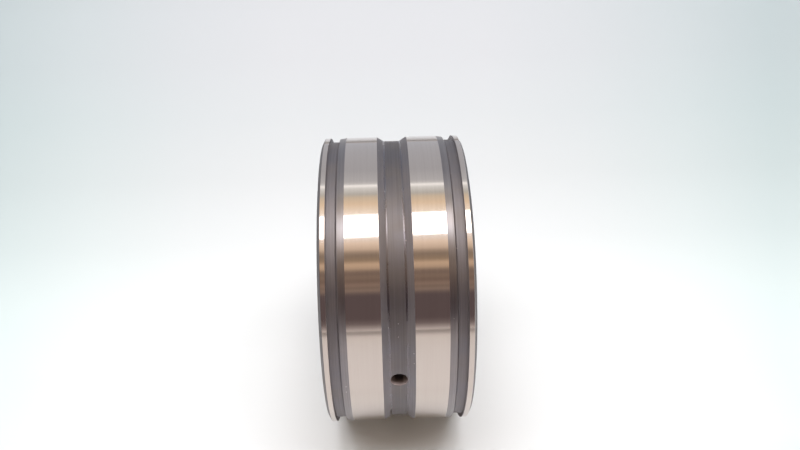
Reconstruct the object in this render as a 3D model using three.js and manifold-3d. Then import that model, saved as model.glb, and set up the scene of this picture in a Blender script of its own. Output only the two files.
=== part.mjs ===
// Sealed double-row full-complement cylindrical roller bearing, 90 x 140 x 67 mm.
//
// Millimetres. The bearing axis is X and +Z is up. The origin is the middle of the bearing,
// which stands on its outer ring with one lubrication hole facing -Y. A profile is a list of
// [x, r] points: the distance along the axis, then the radius.

import * as THREE from "three";
import { mergeVertices } from "three/addons/utils/BufferGeometryUtils.js";
import Module from "manifold-3d";

const wasm = await Module();
wasm.setup();

// ---- driving dimensions -----------------------------------------------------------------

const OUTSIDE_DIAMETER = 140;
const BORE_DIAMETER = 90;
const OUTER_RING_WIDTH = 66;
const INNER_RING_WIDTH = 67; // both halves together

const OUTER_RACEWAY_DIAMETER = 128;
const INNER_RACEWAY_DIAMETER = 102;
const ROLLER_LENGTH = 20;
const ROLLERS_PER_ROW = 27;
const ROLLER_CHAMFER = 0.6;
const RADIAL_CLEARANCE = 0.03; // between a roller and each raceway
const END_CLEARANCE = 0.3; // between a roller's end and each rib

const RIB_HALF_WIDTH = 4.5; // the central rib, between the two rows
const OUTER_RIB_HEIGHT = 2.2;
const INNER_RIB_HEIGHT = 2.3;
const SPLIT_GAP = 0.3; // between the two halves of the inner ring

const END_CHAMFER = { axial: 1.2, radial: 2.2 };
const RETAINING_GROOVE = { from: 25.2, to: 29.5, depth: 2 };
const LEAD_IN = { from: 21.54, depth: 0.45 }; // shallow taper up to the retaining groove
const LUBE_GROOVE = { halfWidth: 7.04, fillet: 5.2, filletDepth: 1.6, floor: 4.6, depth: 2 };
const LUBE_HOLE_DIAMETER = 7.5;
const LUBE_HOLES = 3;

const SEAL_SEAT = { from: 28.4, to: 31.4, radius: 51.6, lipRadius: 52.6 };
const GREASE_NOTCH_DIAMETER = 3;
const GREASE_NOTCHES = 3;

const BAND = { halfWidth: 5.05, hookWidth: 0.5, hookRadius: 46.5, inside: 45.3, outside: 45.8 };
const BAND_RECESS = { radius: 46, hookFrom: 4.3, hookTo: 5.3, hookRadius: 46.9 };
const BAND_HOLE_DIAMETER = 3.6;

const OUTER_RING_FLATS = 60;
const INNER_RING_FLATS = 48;
const ROLLER_FLATS = 12;
const HOLE_FLATS = 24;

// ---- derived dimensions -----------------------------------------------------------------

const outsideRadius = OUTSIDE_DIAMETER / 2;
const boreRadius = BORE_DIAMETER / 2;
const outerRaceway = OUTER_RACEWAY_DIAMETER / 2;
const innerRaceway = INNER_RACEWAY_DIAMETER / 2;
const pitchRadius = (outerRaceway + innerRaceway) / 2;
const rollerRadius = (outerRaceway - innerRaceway) / 2 - RADIAL_CLEARANCE;
const rollerCentre = RIB_HALF_WIDTH + END_CLEARANCE + ROLLER_LENGTH / 2;
const flangeFace = rollerCentre + ROLLER_LENGTH / 2 + END_CLEARANCE;

// ---- materials --------------------------------------------------------------------------

function steel(color, roughness) {
  return new THREE.MeshStandardMaterial({ color, roughness, metalness: 1 });
}

const groundSteel = steel(0xa8a49f, 0.28);
const turnedSteel = steel(0x8f8c8a, 0.4);
const polishedSteel = steel(0xc4c2be, 0.15);
const springSteel = steel(0x6f7176, 0.35);
const sealRubber = new THREE.MeshStandardMaterial({ color: 0x1d1d1f, roughness: 0.7 });

// ---- geometry helpers -------------------------------------------------------------------

// The radius at the corners of a ring whose flats lie on the given radius. A surface that
// faces inwards is sized this way, so that a round part of the true size clears it.
function flatsOn(radius, flats) {
  return radius / Math.cos(Math.PI / flats);
}

// A profile turned round the X axis, with a flat at the top and at the bottom.
function turned(profile, flats) {
  const points = profile.map(([x, r]) => new THREE.Vector2(r, x));
  const geometry = new THREE.LatheGeometry(points, flats, Math.PI / flats, 2 * Math.PI);
  return geometry.rotateZ(-Math.PI / 2);
}

function closed(profile) {
  return [...profile, profile[0]];
}

// The right-hand half of a symmetric profile, and its mirror image run backwards.
function mirrored(rightHalf) {
  const leftHalf = rightHalf.map(([x, r]) => [-x, r]).reverse();
  return closed([...rightHalf, ...leftHalf]);
}

function solidOf(geometry) {
  const bare = geometry.clone();
  bare.deleteAttribute("normal");
  bare.deleteAttribute("uv");
  const merged = mergeVertices(bare, 1e-4);
  const vertProperties = new Float32Array(merged.attributes.position.array);
  const triVerts = new Uint32Array(merged.index.array);
  return new wasm.Manifold(new wasm.Mesh({ numProp: 3, vertProperties, triVerts }));
}

function geometryOf(solid) {
  const mesh = solid.getMesh();
  const geometry = new THREE.BufferGeometry();
  geometry.setAttribute("position", new THREE.BufferAttribute(mesh.vertProperties, 3));
  geometry.setIndex(new THREE.BufferAttribute(mesh.triVerts, 1));
  geometry.computeVertexNormals();
  return geometry;
}

// Cuts evenly spaced radial holes through a ring at its middle, the first facing -Y.
function drilled(geometry, diameter, count, from, to) {
  let solid = solidOf(geometry);
  for (let i = 0; i < count; i++) {
    const drill = new THREE.CylinderGeometry(diameter / 2, diameter / 2, to - from, HOLE_FLATS);
    drill.translate(0, -(from + to) / 2, 0);
    drill.rotateX((2 * Math.PI * i) / count);
    solid = solid.subtract(solidOf(drill));
  }
  return geometryOf(solid);
}

// ---- parts ------------------------------------------------------------------------------

function outerRing() {
  const end = OUTER_RING_WIDTH / 2;
  const boreChamfer = 0.8;
  const rightHalf = [
    [LUBE_GROOVE.floor, outsideRadius - LUBE_GROOVE.depth],
    [LUBE_GROOVE.fillet, outsideRadius - LUBE_GROOVE.filletDepth],
    [LUBE_GROOVE.halfWidth, outsideRadius],
    [LEAD_IN.from, outsideRadius],
    [RETAINING_GROOVE.from, outsideRadius - LEAD_IN.depth],
    [RETAINING_GROOVE.from, outsideRadius - RETAINING_GROOVE.depth],
    [RETAINING_GROOVE.to, outsideRadius - RETAINING_GROOVE.depth],
    [RETAINING_GROOVE.to, outsideRadius],
    [end - END_CHAMFER.axial, outsideRadius],
    [end, outsideRadius - END_CHAMFER.radial],
    [end, outerRaceway + boreChamfer],
    [end - boreChamfer, outerRaceway],
    [RIB_HALF_WIDTH, outerRaceway],
    [RIB_HALF_WIDTH, outerRaceway - OUTER_RIB_HEIGHT],
  ];
  const profile = mirrored(rightHalf).map(([x, r]) => [x, flatsOn(r, OUTER_RING_FLATS)]);
  const ring = turned(profile, OUTER_RING_FLATS);
  return drilled(ring, LUBE_HOLE_DIAMETER, LUBE_HOLES, outerRaceway - 5, outsideRadius + 5);
}

// The right-hand half of the inner ring, from the split to the end face and back by the bore.
function innerRingHalf() {
  const split = SPLIT_GAP / 2;
  const end = INNER_RING_WIDTH / 2;
  const endChamfer = 0.6;
  const boreChamfer = 1.2;
  const rib = innerRaceway + INNER_RIB_HEIGHT;
  const shoulder = rib + 0.3;
  const inward = (radius) => flatsOn(radius, INNER_RING_FLATS);
  const profile = closed([
    [split, rib],
    [RIB_HALF_WIDTH, rib],
    [RIB_HALF_WIDTH, innerRaceway],
    [flangeFace, innerRaceway],
    [flangeFace, shoulder],
    [SEAL_SEAT.from, shoulder],
    [SEAL_SEAT.from, SEAL_SEAT.radius],
    [SEAL_SEAT.to, SEAL_SEAT.radius],
    [SEAL_SEAT.to, SEAL_SEAT.lipRadius],
    [end - endChamfer, SEAL_SEAT.lipRadius],
    [end, SEAL_SEAT.lipRadius - endChamfer],
    [end, inward(boreRadius + boreChamfer)],
    [end - boreChamfer, inward(boreRadius)],
    [BAND_RECESS.hookTo, inward(boreRadius)],
    [BAND_RECESS.hookTo, inward(BAND_RECESS.hookRadius)],
    [BAND_RECESS.hookFrom, inward(BAND_RECESS.hookRadius)],
    [BAND_RECESS.hookFrom, inward(BAND_RECESS.radius)],
    [split, inward(BAND_RECESS.radius)],
  ]);
  const ring = turned(profile, INNER_RING_FLATS);
  return drilled(ring, GREASE_NOTCH_DIAMETER, GREASE_NOTCHES, boreRadius - 5, rib + 5);
}

// Steel strip sprung into the bore, with both edges hooked outwards to hold the halves.
function retainingBand() {
  const inside = flatsOn(BAND.inside, INNER_RING_FLATS);
  const rightHalf = [
    [BAND.halfWidth - BAND.hookWidth, BAND.outside],
    [BAND.halfWidth - BAND.hookWidth, BAND.hookRadius],
    [BAND.halfWidth, BAND.hookRadius],
    [BAND.halfWidth, inside],
  ];
  const band = turned(mirrored(rightHalf), INNER_RING_FLATS);
  return drilled(band, BAND_HOLE_DIAMETER, GREASE_NOTCHES, boreRadius - 5, boreRadius + 5);
}

// The right-hand seal: a bead in the inner ring's seat, a disc, and a lip at the outer ring.
function seal() {
  const gap = 0.3;
  const beadRadius = flatsOn(SEAL_SEAT.radius + gap, INNER_RING_FLATS);
  const beadFrom = SEAL_SEAT.from + gap;
  const beadTo = SEAL_SEAT.to - gap;
  const overLip = flatsOn(SEAL_SEAT.lipRadius + gap, INNER_RING_FLATS);
  const face = beadTo + 0.8;
  const back = beadFrom + 0.7;
  const lipRadius = outerRaceway - gap;
  const profile = closed([
    [beadFrom, beadRadius + 2],
    [back, beadRadius + 2.2],
    [back, lipRadius - 1.3],
    [back + 1, lipRadius],
    [back + 1.8, lipRadius],
    [back + 1.2, lipRadius - 1.1],
    [face, lipRadius - 1.9],
    [face, overLip + 0.5],
    [beadTo, overLip],
    [beadTo, beadRadius],
    [beadFrom, beadRadius],
  ]);
  return turned(profile, INNER_RING_FLATS);
}

function roller() {
  const end = ROLLER_LENGTH / 2;
  const profile = [
    [-end, 0],
    [-end, rollerRadius - ROLLER_CHAMFER],
    [-end + ROLLER_CHAMFER, rollerRadius],
    [end - ROLLER_CHAMFER, rollerRadius],
    [end, rollerRadius - ROLLER_CHAMFER],
    [end, 0],
  ];
  return turned(profile, ROLLER_FLATS);
}

// ---- assembly ---------------------------------------------------------------------------

const bearing = new THREE.Group();

function place(name, geometry, material, parent = bearing) {
  const mesh = new THREE.Mesh(geometry, material.clone());
  mesh.name = name;
  parent.add(mesh);
  return mesh;
}

place("outer_ring", outerRing(), groundSteel);
place("retaining_band", retainingBand(), springSteel);

for (const side of ["left", "right"]) {
  // the left-hand parts are the right-hand ones turned end for end, about the Y axis, so that
  // the grease notches of the two halves meet
  const half = new THREE.Group();
  half.rotation.y = side === "left" ? Math.PI : 0;
  bearing.add(half);
  place(`inner_ring_${side}`, innerRingHalf(), turnedSteel, half);
  place(`seal_${side}`, seal(), sealRubber, half);
}

const rollerGeometry = roller();
for (const side of ["left", "right"]) {
  const x = side === "left" ? -rollerCentre : rollerCentre;
  for (let i = 0; i < ROLLERS_PER_ROW; i++) {
    const angle = (2 * Math.PI * i) / ROLLERS_PER_ROW;
    const number = String(i + 1).padStart(2, "0");
    const mesh = place(`roller_${side}_${number}`, rollerGeometry, polishedSteel);
    mesh.position.set(x, pitchRadius * Math.sin(angle), pitchRadius * Math.cos(angle));
    mesh.rotation.x = -angle;
  }
}

export default bearing;
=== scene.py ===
"""The looks of a sealed double-row cylindrical roller bearing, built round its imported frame.

The bearing axis is X. A contour is a closed list of corners (x, r, fillet, finish): the distance
along the axis and the radius in millimetres, how far the corner is rounded, and the finish of the
surface that runs from it to the next corner.
"""

import math

import bmesh
import bpy
from mathutils import Matrix, Vector


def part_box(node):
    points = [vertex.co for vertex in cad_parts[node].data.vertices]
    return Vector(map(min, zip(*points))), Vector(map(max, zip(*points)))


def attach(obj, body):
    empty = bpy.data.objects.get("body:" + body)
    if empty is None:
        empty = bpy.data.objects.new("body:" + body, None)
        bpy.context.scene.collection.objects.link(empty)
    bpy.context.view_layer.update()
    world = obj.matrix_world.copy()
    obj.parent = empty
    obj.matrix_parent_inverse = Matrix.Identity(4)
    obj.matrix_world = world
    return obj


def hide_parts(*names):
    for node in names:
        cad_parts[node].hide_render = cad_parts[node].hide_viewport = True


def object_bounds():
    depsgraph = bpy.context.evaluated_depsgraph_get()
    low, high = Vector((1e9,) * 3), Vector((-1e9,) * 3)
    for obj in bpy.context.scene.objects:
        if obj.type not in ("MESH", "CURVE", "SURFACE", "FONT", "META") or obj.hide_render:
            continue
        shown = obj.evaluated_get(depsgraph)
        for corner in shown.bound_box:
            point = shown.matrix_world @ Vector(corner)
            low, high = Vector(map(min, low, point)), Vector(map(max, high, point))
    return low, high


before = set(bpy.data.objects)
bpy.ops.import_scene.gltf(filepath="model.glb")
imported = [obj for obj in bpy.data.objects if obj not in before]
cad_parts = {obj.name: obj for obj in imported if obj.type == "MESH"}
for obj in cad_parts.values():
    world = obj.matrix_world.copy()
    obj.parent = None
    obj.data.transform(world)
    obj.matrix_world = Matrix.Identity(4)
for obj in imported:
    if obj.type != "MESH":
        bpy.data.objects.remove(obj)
cad_low, cad_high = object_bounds()

MM = 0.001
SIDES = ("left", "right")

# ---- sizes from the frame, in millimetres ---------------------------------------------------

ring_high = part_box("outer_ring")[1]
half_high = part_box("inner_ring_right")[1]
OUTSIDE = ring_high[2] / MM  # outside radius
RING_END = ring_high[0] / MM  # outer ring's end face
INNER_END = half_high[0] / MM  # inner ring's end face

OUTER_RACEWAY = OUTSIDE - 6
INNER_RACEWAY = OUTSIDE - 19
BORE = OUTSIDE - 25
PITCH = (OUTER_RACEWAY + INNER_RACEWAY) / 2
RIB = 4.5  # half width of the central ribs
SPLIT = 0.15  # from the middle to the mating face of an inner ring half
FLANGE = 25.1  # inner face of an inner ring end rib
ROLLER_CENTRE = 14.8
ROLLER_HALF = 10.0
ROLLER_RADIUS = (OUTER_RACEWAY - INNER_RACEWAY) / 2 - 0.03
HOLE = 3.75  # radius of a lubrication hole
HOLE_COUNT = 3  # holes or notches round each ring
NOTCH = 1.5  # radius of a grease notch in the inner ring
BAND_HOLE = 1.8  # radius of a hole in the retaining band

# the outside of the outer ring, from the middle to one end
LUBE_FLAT = 3.4  # half width of the lubrication groove's floor
LUBE_EDGE = 7.04  # where the lubrication groove meets the ground land
LAND_END = 21.54  # where the land runs out into the lead-in
LEAD_DROP = 0.45  # how far the lead-in falls
LEAD_END = 24.75  # where the lead-in meets the retaining groove's wall
SLOT_START = 25.25  # the retaining groove's floor
SLOT_END = 29.5
SLOT_DEPTH = 2.0
CHAMFER = (1.2, 2.2)  # the end chamfer, along the axis and across it

RING_STEPS = 288
SMALL_STEPS = 216
ROLLER_STEPS = 48
FILLET_STEPS = 4

# finish numbers, in the order of each piece's material list
GROUND, TURNED, LEAD, SLOT, BURNISHED = 0, 1, 2, 3, 4


# ---- mesh helpers ---------------------------------------------------------------------------

def rounded(corners, is_closed=True):
    """The contour's points (x, r, finish), with each corner replaced by an arc."""
    points = []
    count = len(corners)
    for i, (x, r, fillet, finish) in enumerate(corners):
        if not is_closed and i in (0, count - 1):
            points.append((x, r, finish))
            continue
        here = Vector((x, r))
        before = Vector(corners[i - 1][:2]) - here
        after = Vector(corners[(i + 1) % count][:2]) - here
        angle = before.angle(after)
        reach = min(fillet / math.tan(angle / 2), 0.45 * before.length, 0.45 * after.length)
        last_finish = corners[i - 1][3]
        start = here + before.normalized() * reach
        end = here + after.normalized() * reach
        radius = reach * math.tan(angle / 2)
        centre = here + (before.normalized() + after.normalized()).normalized() * (
            math.hypot(radius, reach)
        )
        a, b = start - centre, end - centre
        turn = b.angle_signed(a)
        for k in range(FILLET_STEPS + 1):
            p = centre + Matrix.Rotation(turn * k / FILLET_STEPS, 2) @ a
            points.append((p.x, p.y, finish if k == FILLET_STEPS else last_finish))
    return points


def bend(x, r, radius, start, end, finish, next_finish):
    """Corners along an arc about (x, r), from one angle to another in degrees."""
    corners = []
    for k in range(FILLET_STEPS + 1):
        angle = math.radians(start + (end - start) * k / FILLET_STEPS)
        here = finish if k < FILLET_STEPS else next_finish
        corners.append((x + radius * math.cos(angle), r + radius * math.sin(angle), 0.05, here))
    return corners


def revolved(name, points, steps, materials, is_closed=True):
    """A solid of revolution about the X axis."""
    bm = bmesh.new()
    rings = []
    for x, r, _ in points:
        if r < 1e-6:
            rings.append([bm.verts.new((x * MM, 0, 0))] * steps)
            continue
        ring = []
        for k in range(steps):
            angle = 2 * math.pi * (k + 0.5) / steps
            ring.append(bm.verts.new((x * MM, -r * MM * math.cos(angle), r * MM * math.sin(angle))))
        rings.append(ring)
    last = len(points) if is_closed else len(points) - 1
    for i in range(last):
        one, other = rings[i], rings[(i + 1) % len(points)]
        for k in range(steps):
            n = (k + 1) % steps
            corners = list(dict.fromkeys((one[k], one[n], other[n], other[k])))
            face = bm.faces.new(corners)
            face.material_index = points[i][2]
            face.smooth = True
    bmesh.ops.recalc_face_normals(bm, faces=bm.faces)
    mesh = bpy.data.meshes.new(name)
    bm.to_mesh(mesh)
    bm.free()
    for material in materials:
        mesh.materials.append(material)
    piece = bpy.data.objects.new(name, mesh)
    bpy.context.scene.collection.objects.link(piece)
    return piece


def drilled(piece, profile, count, material):
    """Cuts evenly spaced radial holes at the middle. profile lists (radius, height) in mm."""
    for i in range(count):
        contour = [(h, r, 0) for r, h in profile]
        drill = revolved("drill", contour, 64, [material], is_closed=False)
        turn = Matrix.Rotation(2 * math.pi * i / count, 4, "X")
        drill.data.transform(turn @ Matrix.Rotation(-math.pi / 2, 4, "Z"))
        cut = piece.modifiers.new("cut", "BOOLEAN")
        cut.operation = "DIFFERENCE"
        cut.solver = "EXACT"
        cut.material_mode = "TRANSFER"
        cut.object = drill
        depsgraph = bpy.context.evaluated_depsgraph_get()
        mesh = bpy.data.meshes.new_from_object(piece.evaluated_get(depsgraph))
        piece.modifiers.clear()
        piece.data = mesh
        bpy.data.objects.remove(drill)


def finished(piece, body, slot, *nodes):
    """Even normals across flats and fillets, then the piece's place in the frame."""
    for face in piece.data.polygons:
        face.use_smooth = True
    normals = piece.modifiers.new("normals", "WEIGHTED_NORMAL")
    normals.weight = 80
    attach(piece, body)
    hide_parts(*nodes)


def mirrored(right_half, middle):
    """A right-hand half contour and its mirror image, joined at their starts by the finish middle."""
    left = []
    finish_before = middle
    for x, r, fillet, finish in right_half:
        left.insert(0, (-x, r, fillet, finish_before))
        finish_before = finish
    return right_half + left


# ---- materials ------------------------------------------------------------------------------

class Nodes:
    """Short ways to wire a node tree."""

    def __init__(self, tree):
        self.nodes = tree.nodes
        self.links = tree.links

    def node(self, kind, inputs=None, **settings):
        node = self.nodes.new(kind)
        for key, value in settings.items():
            setattr(node, key, value)
        for key, value in (inputs or {}).items():
            self.feed(node.inputs[key], value)
        return node

    def feed(self, socket, value):
        if isinstance(value, bpy.types.NodeSocket):
            self.links.new(value, socket)
        else:
            socket.default_value = value

    def stops(self, factor, stops):
        """A colour for each factor, blended between stops of (factor, colour)."""
        node = self.node("ShaderNodeValToRGB", {"Fac": factor})
        elements = node.color_ramp.elements
        while len(elements) < len(stops):
            elements.new(0.5)
        for element, (position, colour) in zip(elements, stops):
            element.position = position
            element.color = (*colour, 1)
        return node.outputs["Color"]

    def math(self, operation, a, b=0.0):
        return self.node("ShaderNodeMath", {0: a, 1: b}, operation=operation).outputs[0]

    def add(self, a, b):
        return self.math("ADD", a, b)

    def vector(self, operation, a, b=(0, 0, 0)):
        node = self.node("ShaderNodeVectorMath", {0: a, 1: b}, operation=operation)
        return node.outputs["Value" if operation == "LENGTH" else "Vector"]


LINE_SLANT = 1.37  # how much the radius moves the lathe lines, so that end faces get them too


class Paint(Nodes):
    """A Principled material and short ways to wire its textures."""

    def __init__(self, name, **constants):
        self.material = bpy.data.materials.new(name)
        self.material.use_nodes = True
        super().__init__(self.material.node_tree)
        self.shader = self.nodes["Principled BSDF"]
        for socket, value in constants.items():
            self.shader.inputs[socket.replace("_", " ")].default_value = value

    def place(self):
        return self.node("ShaderNodeTexCoord").outputs["Object"]

    def noise(self, vector, scale, detail=2.0, roughness=0.5):
        settings = {"Vector": vector, "Scale": scale, "Detail": detail, "Roughness": roughness}
        return self.node("ShaderNodeTexNoise", settings).outputs["Fac"]

    def lathe_lines(self, line_width, drift):
        """Fine lines round the X axis, line_width metres apart, that fade in and out."""
        place = self.place()
        split = self.node("ShaderNodeSeparateXYZ", {0: place})
        x, y, z = split.outputs
        spoke = self.node("ShaderNodeCombineXYZ", {1: y, 2: z}).outputs[0]
        radius = self.vector("LENGTH", spoke)
        across = self.math("ADD", x, self.math("MULTIPLY", radius, LINE_SLANT))
        across = self.math("DIVIDE", across, line_width)
        along = self.vector("SCALE", self.vector("NORMALIZE", spoke))
        along.node.inputs["Scale"].default_value = drift
        lines = self.node("ShaderNodeCombineXYZ", {0: across}).outputs[0]
        return self.noise(self.vector("ADD", lines, along), 1.0, 2.0)

    def specks(self, spacing, radius, share):
        """1 on small round specks. share of the cells, spacing metres wide, hold one each."""
        cells = self.node("ShaderNodeTexVoronoi", {"Vector": self.place(), "Scale": 1 / spacing})
        near = self.math("LESS_THAN", cells.outputs["Distance"], radius)
        kept = self.node("ShaderNodeSeparateColor", {"Color": cells.outputs["Color"]})
        return self.math("MULTIPLY", near, self.math("LESS_THAN", kept.outputs["Red"], share))

    def mix(self, factor, one, other):
        """one where factor is 0, and other where it is 1."""
        node = self.node("ShaderNodeMix", {"Factor": factor}, data_type="RGBA")
        for socket, value in (("A_Color", one), ("B_Color", other)):
            colour = value if isinstance(value, bpy.types.NodeSocket) else (*value, 1)
            self.feed(next(i for i in node.inputs if i.identifier == socket), colour)
        return next(o for o in node.outputs if o.identifier == "Result_Color")

    def ramp(self, factor, low, high, start=0.0, end=1.0):
        """Blends two colours as factor runs from start to end."""
        return self.stops(factor, [(start, low), (end, high)])

    def spread(self, factor, low, high, start=0.3, end=0.7):
        """Maps factor from start..end to low..high."""
        inputs = {"Value": factor, "From Min": start, "From Max": end, "To Min": low, "To Max": high}
        return self.node("ShaderNodeMapRange", inputs).outputs["Result"]

    def bump(self, height, distance, strength=1.0):
        inputs = {"Height": height, "Distance": distance, "Strength": strength}
        node = self.node("ShaderNodeBump", inputs)
        self.feed(self.shader.inputs["Normal"], node.outputs["Normal"])

    def set(self, socket, value):
        self.feed(self.shader.inputs[socket], value)

    def grain_across_lines(self):
        """Stretches highlights across the lathe lines, as real grinding does."""
        tangent = self.node("ShaderNodeTangent", direction_type="RADIAL", axis="X")
        self.set("Tangent", tangent.outputs["Tangent"])
        self.shader.inputs["Anisotropic Rotation"].default_value = 0.25


def ground_steel(name, light, dark, smooth, rough, anisotropy):
    """Bright ground steel: fine lines round the axis, faint cloudy tarnish and stray dust."""
    paint = Paint(name, Metallic=1.0, Anisotropic=anisotropy)
    fine = paint.lathe_lines(0.00035, 2.0)
    broad = paint.lathe_lines(0.0016, 1.2)
    lines = paint.add(paint.math("MULTIPLY", fine, 0.55), paint.math("MULTIPLY", broad, 0.45))
    steel = paint.ramp(lines, dark, light, 0.35, 0.6)
    dust = paint.specks(0.0016, 0.09, 0.05)
    paint.set("Base Color", paint.mix(dust, steel, DUST))
    cloud = paint.noise(paint.place(), 60.0, 3.0)
    worn = paint.add(paint.math("MULTIPLY", cloud, 0.4), paint.math("MULTIPLY", lines, 0.6))
    worn = paint.add(worn, paint.math("MULTIPLY", dust, 0.3))
    paint.set("Roughness", paint.spread(worn, smooth, rough, 0.35, 0.65))
    ripple = paint.noise(paint.place(), 1300.0, 3.0, 0.6)
    paint.bump(paint.add(fine, paint.math("MULTIPLY", ripple, 1.6)), 0.0000008)
    paint.grain_across_lines()
    return paint.material


def turned_steel(name, cool, warm, smooth, rough, metallic=1.0):
    """Dark steel as hardened, not ground: turning marks, oxide patches and dust."""
    paint = Paint(name, Metallic=metallic, Anisotropic=0.35)
    patches = paint.noise(paint.place(), 75.0, 5.0, 0.62)
    tint = paint.ramp(patches, cool, warm, 0.38, 0.64)
    marks = paint.lathe_lines(0.0005, 1.5)
    shade = paint.spread(marks, 0.9, 1.08)
    steel = paint.vector("MULTIPLY", tint, shade)
    dust = paint.specks(0.0021, 0.1, 0.07)
    paint.set("Base Color", paint.mix(dust, steel, DUST))
    paint.set("Roughness", paint.spread(patches, smooth, rough))
    paint.bump(marks, 0.000004)
    paint.grain_across_lines()
    return paint.material


def rubber(name):
    """Moulded black rubber with a faint dusty bloom."""
    paint = Paint(name, Specular_IOR_Level=0.4)
    grain = paint.noise(paint.place(), 2600.0, 3.0, 0.6)
    bloom = paint.noise(paint.place(), 90.0, 4.0)
    paint.set("Base Color", paint.ramp(bloom, (0.018, 0.018, 0.02), (0.035, 0.034, 0.034), 0.4, 0.7))
    paint.set("Roughness", paint.spread(bloom, 0.46, 0.62))
    paint.bump(grain, 0.00002)
    return paint.material


DUST = (0.72, 0.70, 0.70)

land_steel = ground_steel("land_steel", (0.665, 0.605, 0.57), (0.64, 0.58, 0.545), 0.06, 0.11, 0.6)
face_steel = ground_steel("face_steel", (0.64, 0.62, 0.60), (0.58, 0.555, 0.53), 0.2, 0.3, 0.6)
roller_steel = ground_steel("roller_steel", (0.72, 0.71, 0.70), (0.68, 0.67, 0.655), 0.07, 0.12, 0.5)
groove_steel = turned_steel("groove_steel", (0.212, 0.2, 0.216), (0.234, 0.216, 0.219), 0.5, 0.6)
slot_steel = turned_steel("slot_steel", (0.262, 0.249, 0.273), (0.294, 0.273, 0.283), 0.52, 0.62)
lead_steel = turned_steel("lead_steel", (0.275, 0.26, 0.275), (0.305, 0.282, 0.29), 0.29, 0.36)
burnished_steel = turned_steel("burnished_steel", (0.2, 0.19, 0.215), (0.23, 0.21, 0.22), 0.24, 0.3)
hole_steel = turned_steel("hole_steel", (0.33, 0.275, 0.285), (0.37, 0.305, 0.31), 0.6, 0.7, 0.0)
band_steel = turned_steel("band_steel", (0.26, 0.27, 0.29), (0.33, 0.32, 0.31), 0.25, 0.34)
seal_rubber = rubber("seal_rubber")


# ---- the bearing ----------------------------------------------------------------------------

def outer_ring():
    floor = OUTSIDE - SLOT_DEPTH
    foot = 1.6  # radius at the foot of the central groove's walls
    steep = 32  # slope of those walls, in degrees
    right_half = bend(LUBE_FLAT, floor + foot, foot, -90, steep - 90, BURNISHED, SLOT) + [
        (LUBE_EDGE, OUTSIDE, 0.25, GROUND),
        (LAND_END, OUTSIDE, 0.4, LEAD),
        (LEAD_END, OUTSIDE - LEAD_DROP, 0.4, SLOT),
        (SLOT_START, floor, 0.4, SLOT),
        (SLOT_END, floor, 0.35, SLOT),
        (SLOT_END, OUTSIDE, 0.12, GROUND),
        (RING_END - CHAMFER[0], OUTSIDE, 0.3, TURNED),
        (RING_END, OUTSIDE - CHAMFER[1], 0.35, GROUND),
        (RING_END, OUTER_RACEWAY + 0.8, 0.2, TURNED),
        (RING_END - 0.8, OUTER_RACEWAY, 0.2, GROUND),
        (RIB + 0.9, OUTER_RACEWAY, 0.05, TURNED),
        (RIB + 0.6, OUTER_RACEWAY + 0.3, 0.15, TURNED),
        (RIB, OUTER_RACEWAY + 0.3, 0.15, GROUND),
        (RIB, OUTER_RACEWAY - 2.2, 0.3, GROUND),
    ]
    contour = rounded(mirrored(right_half, TURNED))
    finishes = [land_steel, groove_steel, lead_steel, slot_steel, burnished_steel]
    ring = revolved("ring_outer_body", contour, RING_STEPS, finishes)
    flare = 0.15  # how far the hole's mouth is broken
    inside, outside = 55, OUTSIDE + 5  # where the drill starts and ends, clear of the wall
    drill = [
        (0, inside),
        (HOLE, inside),
        (HOLE, floor - flare),
        (HOLE + flare, floor + 0.05),
        (HOLE + flare, outside),
        (0, outside),
    ]
    drilled(ring, drill, HOLE_COUNT, hole_steel)
    finished(ring, "outer_ring", "ring_steel", "outer_ring")


def inner_ring(side):
    rib = INNER_RACEWAY + 2.3
    shoulder = rib + 0.3
    seat, lip = INNER_RACEWAY + 0.6, INNER_RACEWAY + 1.6
    recess = BORE + 1
    right_half = [
        (SPLIT, rib, 0.15, GROUND),
        (RIB, rib, 0.2, GROUND),
        (RIB, INNER_RACEWAY - 0.3, 0.12, TURNED),
        (RIB + 0.5, INNER_RACEWAY - 0.3, 0.12, TURNED),
        (RIB + 0.8, INNER_RACEWAY, 0.05, GROUND),
        (FLANGE - 0.8, INNER_RACEWAY, 0.05, TURNED),
        (FLANGE - 0.5, INNER_RACEWAY - 0.3, 0.12, TURNED),
        (FLANGE, INNER_RACEWAY - 0.3, 0.12, GROUND),
        (FLANGE, shoulder, 0.25, TURNED),
        (28.4, shoulder, 0.2, TURNED),
        (28.4, seat, 0.2, TURNED),
        (31.4, seat, 0.2, TURNED),
        (31.4, lip, 0.15, TURNED),
        (INNER_END - 0.6, lip, 0.15, TURNED),
        (INNER_END, lip - 0.6, 0.2, GROUND),
        (INNER_END, BORE + 1.2, 0.4, TURNED),
        (INNER_END - 1.2, BORE, 0.4, GROUND),
        (5.3, BORE, 0.1, TURNED),
        (5.3, BORE + 1.9, 0.1, TURNED),
        (4.3, BORE + 1.9, 0.1, TURNED),
        (4.3, recess, 0.1, TURNED),
        (SPLIT, recess, 0.1, GROUND),
    ]
    contour = rounded(right_half)
    if side == "left":
        contour = [(-x, r, finish) for x, r, finish in contour]
    ring = revolved(f"ring_inner_{side}", contour, SMALL_STEPS, [face_steel, groove_steel])
    inside, outside = BORE - 5, INNER_RACEWAY + 7  # clear of the wall on both sides
    drill = [(0, inside), (NOTCH, inside), (NOTCH, outside), (0, outside)]
    drilled(ring, drill, HOLE_COUNT, groove_steel)
    finished(ring, "inner_ring", "inner_ring_steel", f"inner_ring_{side}")


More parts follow.
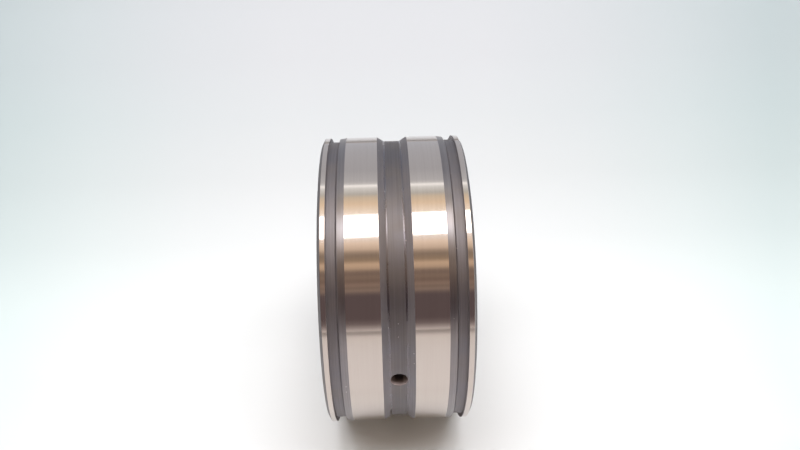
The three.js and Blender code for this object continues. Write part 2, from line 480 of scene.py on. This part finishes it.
def band():
    right_half = [
        (4.55, BORE + 0.8, 0.15, GROUND),
        (4.55, BORE + 1.5, 0.1, GROUND),
        (5.05, BORE + 1.5, 0.1, GROUND),
        (5.05, BORE + 0.3, 0.35, GROUND),
    ]
    strip = revolved("band_strip", rounded(mirrored(right_half, GROUND)), SMALL_STEPS, [band_steel])
    inside, outside = BORE - 3, BORE + 5  # clear of the strip on both sides
    drill = [(0, inside), (BAND_HOLE, inside), (BAND_HOLE, outside), (0, outside)]
    drilled(strip, drill, HOLE_COUNT, band_steel)
    finished(strip, "inner_ring", "band_steel", "retaining_band")


def seal(side):
    seat, lip = INNER_RACEWAY + 0.9, INNER_RACEWAY + 1.9
    face, back = 31.9, 29.4
    reach = OUTER_RACEWAY - 0.06
    right_half = [
        (28.7, seat + 2.0, 0.3, 0),
        (28.7, seat, 0.3, 0),
        (31.1, seat, 0.25, 0),
        (31.1, lip, 0.15, 0),
        (face, lip + 0.5, 0.3, 0),
        (face, lip + 1.6, 0.25, 0),
        (face - 0.45, lip + 2.2, 0.3, 0),
        (face - 0.45, reach - 3.9, 0.3, 0),
        (face, reach - 3.3, 0.25, 0),
        (face, reach - 2.2, 0.3, 0),
        (back + 1.2, reach - 1.2, 0.3, 0),
        (back + 1.8, reach, 0.1, 0),
        (back + 1.0, reach, 0.1, 0),
        (back, reach - 1.5, 0.4, 0),
        (back, seat + 2.2, 0.3, 0),
    ]
    contour = rounded(right_half)
    if side == "left":
        contour = [(-x, r, finish) for x, r, finish in contour]
    piece = revolved(f"seal_ring_{side}", contour, SMALL_STEPS, [seal_rubber])
    finished(piece, "inner_ring", "seal_rubber", f"seal_{side}")


def rollers():
    """Two full rows that share one mesh: a fine ground cylinder with dimpled ends."""
    end, radius = ROLLER_HALF, ROLLER_RADIUS
    half = [(end - 0.2, 0.0, 0, 0), (end - 0.2, 2.4, 0.2, 0), (end, 2.8, 0.2, 0), (end, radius, 0.6, 0)]
    contour = half + [(-x, r, fillet, finish) for x, r, fillet, finish in reversed(half)]
    points = rounded(contour, is_closed=False)
    pattern = revolved("roller_pattern", points, ROLLER_STEPS, [roller_steel], is_closed=False)
    for side in SIDES:
        nodes = sorted(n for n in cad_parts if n.startswith(f"roller_{side}_"))
        for name in nodes:
            low, high = (Vector(corner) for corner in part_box(name))
            piece = bpy.data.objects.new(f"{name}_body", pattern.data)
            piece.location = (low + high) / 2
            bpy.context.scene.collection.objects.link(piece)
            body = f"row_{side}" if name.endswith("_01") else name
            finished(piece, body, "roller_steel", name)
    bpy.data.objects.remove(pattern)


outer_ring()
for side in SIDES:
    inner_ring(side)
    seal(side)
band()
rollers()


# ---- floor, light and camera ----------------------------------------------------------------

# What a surface facing each way round the X axis mirrors: degrees above the horizon in front,
# so 90 is straight up and 180 the horizon behind. These bands aren't a real room: they are
# chosen so that the ground lands mirror what the photo's do. The overhead lamp hangs in front
# of 71 to 89.
STUDIO = [
    (0, (0.70, 0.63, 0.60)),
    (2, (0.45, 0.39, 0.37)),
    (5, (0.22, 0.175, 0.17)),
    (9, (0.14, 0.105, 0.105)),
    (27, (0.14, 0.105, 0.105)),
    (29, (0.20, 0.15, 0.135)),
    (31, (0.33, 0.24, 0.195)),
    (33, (0.26, 0.19, 0.15)),
    (35, (0.34, 0.24, 0.19)),
    (38, (0.235, 0.165, 0.13)),
    (41, (0.30, 0.215, 0.165)),
    (43.5, (0.25, 0.18, 0.145)),
    (45.5, (0.31, 0.225, 0.175)),
    (47.5, (0.62, 0.45, 0.32)),
    (50.5, (0.76, 0.55, 0.38)),
    (53.5, (0.40, 0.29, 0.20)),
    (57.5, (0.33, 0.25, 0.19)),
    (60, (0.50, 0.38, 0.29)),
    (62, (0.80, 0.62, 0.47)),
    (67, (1.10, 0.88, 0.70)),
    (71, (1.15, 1.02, 0.92)),
    (89, (1.20, 1.06, 0.95)),
    (92, (1.25, 1.08, 0.90)),
    (99, (1.05, 0.83, 0.60)),
    (105, (0.85, 0.72, 0.55)),
    (108, (0.66, 0.65, 0.60)),
    (114, (0.95, 0.96, 0.94)),
    (116.5, (1.45, 1.46, 1.45)),
    (118, (0.78, 0.79, 0.80)),
    (121, (0.63, 0.64, 0.66)),
    (133, (0.53, 0.54, 0.57)),
    (180, (0.56, 0.58, 0.63)),
]
BACKDROP = (0.66, 0.73, 0.74)

# How strongly the room lights dull surfaces, from low down and from high up, and the upward
# parts of the direction between which it changes. Mirrors see the room at full strength.
ROOM_FILL = (0.15, 1.2)
ROOM_FILL_HEIGHTS = (0.4, 0.95)

# Painted light and shade on the floor: its colour at each distance in metres behind the bearing's axis,
# or in front where it is negative, brightest round the bearing and dimmer in front of and behind it,
# and what is left of it to the sides, where the distance aside is a share of the distance from
# FLOOR_FRONT. The tones are fitted to the photo's floor: the real one is probably even, under light
# that isn't.
FLOOR_PAINTED_LIGHT = [
    (-1.3, (0.67, 0.67, 0.70)),
    (-0.50, (0.56, 0.56, 0.575)),
    (-0.16, (0.545, 0.545, 0.56)),
    (-0.11, (0.55, 0.555, 0.57)),
    (-0.05, (0.71, 0.74, 0.78)),
    (0.01, (0.71, 0.74, 0.78)),
    (0.06, (0.67, 0.70, 0.735)),
    (0.12, (0.59, 0.62, 0.655)),
    (0.20, (0.535, 0.565, 0.60)),
    (0.30, (0.515, 0.55, 0.59)),
    (0.42, (0.52, 0.55, 0.597)),
    (0.56, (0.54, 0.573, 0.625)),
]
# painted shade: the floor is drawn darker and cooler to the sides, standing in for light that falls off
FLOOR_PAINTED_SHADE_ASIDE = [
    (0.11, (1.0, 1.0, 1.0)),
    (0.22, (0.955, 0.975, 0.975)),
    (0.33, (0.88, 0.94, 0.935)),
    (0.43, (0.785, 0.875, 0.87)),
    (1.00, (0.82, 0.86, 0.86)),
]
FLOOR_FRONT = 0.51  # metres in front of the axis from which the sides fan out
FLOOR_NEAREST = 0.4  # the least distance from there that counts
FLOOR_FADE = (-0.5, 0.0)  # metres behind the axis over which the sides' tone comes in


def studio():
    """A room of bands of light and shade round the bearing's axis, plain where it is seen."""
    world = bpy.data.worlds.new("studio")
    bpy.context.scene.world = world
    world.use_nodes = True
    world.node_tree.nodes.clear()
    room = Nodes(world.node_tree)
    generated = room.node("ShaderNodeTexCoord").outputs["Generated"]
    _, y, z = room.node("ShaderNodeSeparateXYZ", {0: generated}).outputs
    low, high = ROOM_FILL
    start, end = ROOM_FILL_HEIGHTS
    height = {"Value": z, "From Min": start, "From Max": end, "To Min": low, "To Max": high}
    fill = room.node("ShaderNodeMapRange", height).outputs["Result"]
    angle = room.math("ARCTAN2", z, room.math("MULTIPLY", y, -1))
    share = room.math("DIVIDE", angle, math.pi)
    bands = room.stops(share, [(degrees / 180, colour) for degrees, colour in STUDIO])
    dull = room.node("ShaderNodeLightPath").outputs["Is Diffuse Ray"]
    strength = room.add(1, room.math("MULTIPLY", dull, room.math("SUBTRACT", fill, 1)))
    mirrored_room = room.node("ShaderNodeBackground", {"Color": bands, "Strength": strength}).outputs[0]
    seen_room = room.node("ShaderNodeBackground", {"Color": (*BACKDROP, 1)}).outputs[0]
    seen = room.node("ShaderNodeLightPath").outputs["Is Camera Ray"]
    mix = room.node("ShaderNodeMixShader", {0: seen, 1: mirrored_room, 2: seen_room})
    room.node("ShaderNodeOutputWorld", {"Surface": mix.outputs[0]})


def floor():
    """A pale sheet under the bearing, with light and shade painted on it that change with distance and
    to the sides.
    """
    mesh = bpy.data.meshes.new("floor")
    side, z = 12.0, cad_low[2]
    corners = [(-side, -side, z), (side, -side, z), (side, side, z), (-side, side, z)]
    mesh.from_pydata(corners, [], [(0, 1, 2, 3)])
    sheet = bpy.data.objects.new("floor", mesh)
    bpy.context.scene.collection.objects.link(sheet)
    paint = Paint("floor_paper", Roughness=0.6, Specular_IOR_Level=0.2)
    x, y, _ = paint.node("ShaderNodeSeparateXYZ", {0: paint.place()}).outputs
    start, end = FLOOR_PAINTED_LIGHT[0][0], FLOOR_PAINTED_LIGHT[-1][0]
    behind = paint.spread(y, 0.0, 1.0, start, end)
    # painted light and shade: the floor's colour is brightest round the bearing and dimmer in front of
    # and behind it
    painted_light = paint.stops(behind, [((d - start) / (end - start), colour) for d, colour in FLOOR_PAINTED_LIGHT])
    distance = paint.math("MAXIMUM", paint.add(y, FLOOR_FRONT), FLOOR_NEAREST)
    aside = paint.math("DIVIDE", paint.math("ABSOLUTE", x), distance)
    aside = paint.math("MULTIPLY", aside, paint.spread(y, 0.0, 1.0, *FLOOR_FADE))
    # painted light and shade: the floor's colour by distance, darkened and cooled to the sides
    paint.set("Base Color", paint.vector("MULTIPLY", painted_light, paint.stops(aside, FLOOR_PAINTED_SHADE_ASIDE)))
    mesh.materials.append(paint.material)


def lamp(name, elevation, azimuth, distance, size, power, colour):
    """A soft lamp aimed at the bearing. Azimuth is from straight in front, to the right."""
    up, aside = math.radians(elevation), math.radians(azimuth)
    towards = Vector((math.cos(up) * math.sin(aside), -math.cos(up) * math.cos(aside), math.sin(up)))
    light = bpy.data.lights.new(name, "AREA")
    light.shape = "RECTANGLE"
    light.size, light.size_y = size
    light.energy = power
    light.color = colour
    item = bpy.data.objects.new(name, light)
    item.location = towards * distance
    item.rotation_euler = (-towards).to_track_quat("-Z", "Y").to_euler()
    bpy.context.scene.collection.objects.link(item)
    return item


CAMERA_DISTANCE = 5.226  # in ring radii
CAMERA_ELEVATION = 41.2  # degrees above the bearing
CAMERA_ASIDE = -0.0121  # a little to the left, as a share of the distance
CAMERA_AIM = (90 - 37.15, -1.53, -0.71)  # degrees of pitch, yaw and roll


def camera():
    """The viewpoint, fitted to the ring's edges in the photo."""
    data = bpy.data.cameras.new("camera")
    data.sensor_width = 36.0
    data.lens = 32.4
    item = bpy.data.objects.new("camera", data)
    elevation = math.radians(CAMERA_ELEVATION)
    towards = Vector((CAMERA_ASIDE, -math.cos(elevation), math.sin(elevation)))
    pitch_angle, yaw_angle, roll_angle = (math.radians(angle) for angle in CAMERA_AIM)
    yaw = Matrix.Rotation(yaw_angle, 4, "Z")
    pitch = Matrix.Rotation(pitch_angle, 4, "X")
    roll = Matrix.Rotation(roll_angle, 4, "Z")
    place = Matrix.Translation(towards * CAMERA_DISTANCE * OUTSIDE * MM)
    item.matrix_world = place @ yaw @ pitch @ roll
    bpy.context.scene.collection.objects.link(item)
    bpy.context.scene.camera = item


studio()
floor()
lamp("lamp_overhead", 80, 8, 1.5, (1.4, 0.46), 6.5, (1.0, 1.0, 1.0))
for side, azimuth in (("left", -90), ("right", 90)):
    lamp(f"lamp_{side}", 60, azimuth, 1.5, (1.2, 0.4), 6.0, (1.0, 0.995, 0.99)).visible_glossy = False
lamp("lamp_fill", 84, 180, 1.5, (0.9, 1.4), 12.5, (1.0, 0.995, 0.99)).visible_glossy = False
lamp("lamp_front", 35, 0, 1.5, (0.6, 0.3), 2.5, (1.0, 0.78, 0.5)).visible_glossy = False
camera()
bpy.context.scene.view_settings.view_transform = "Standard"
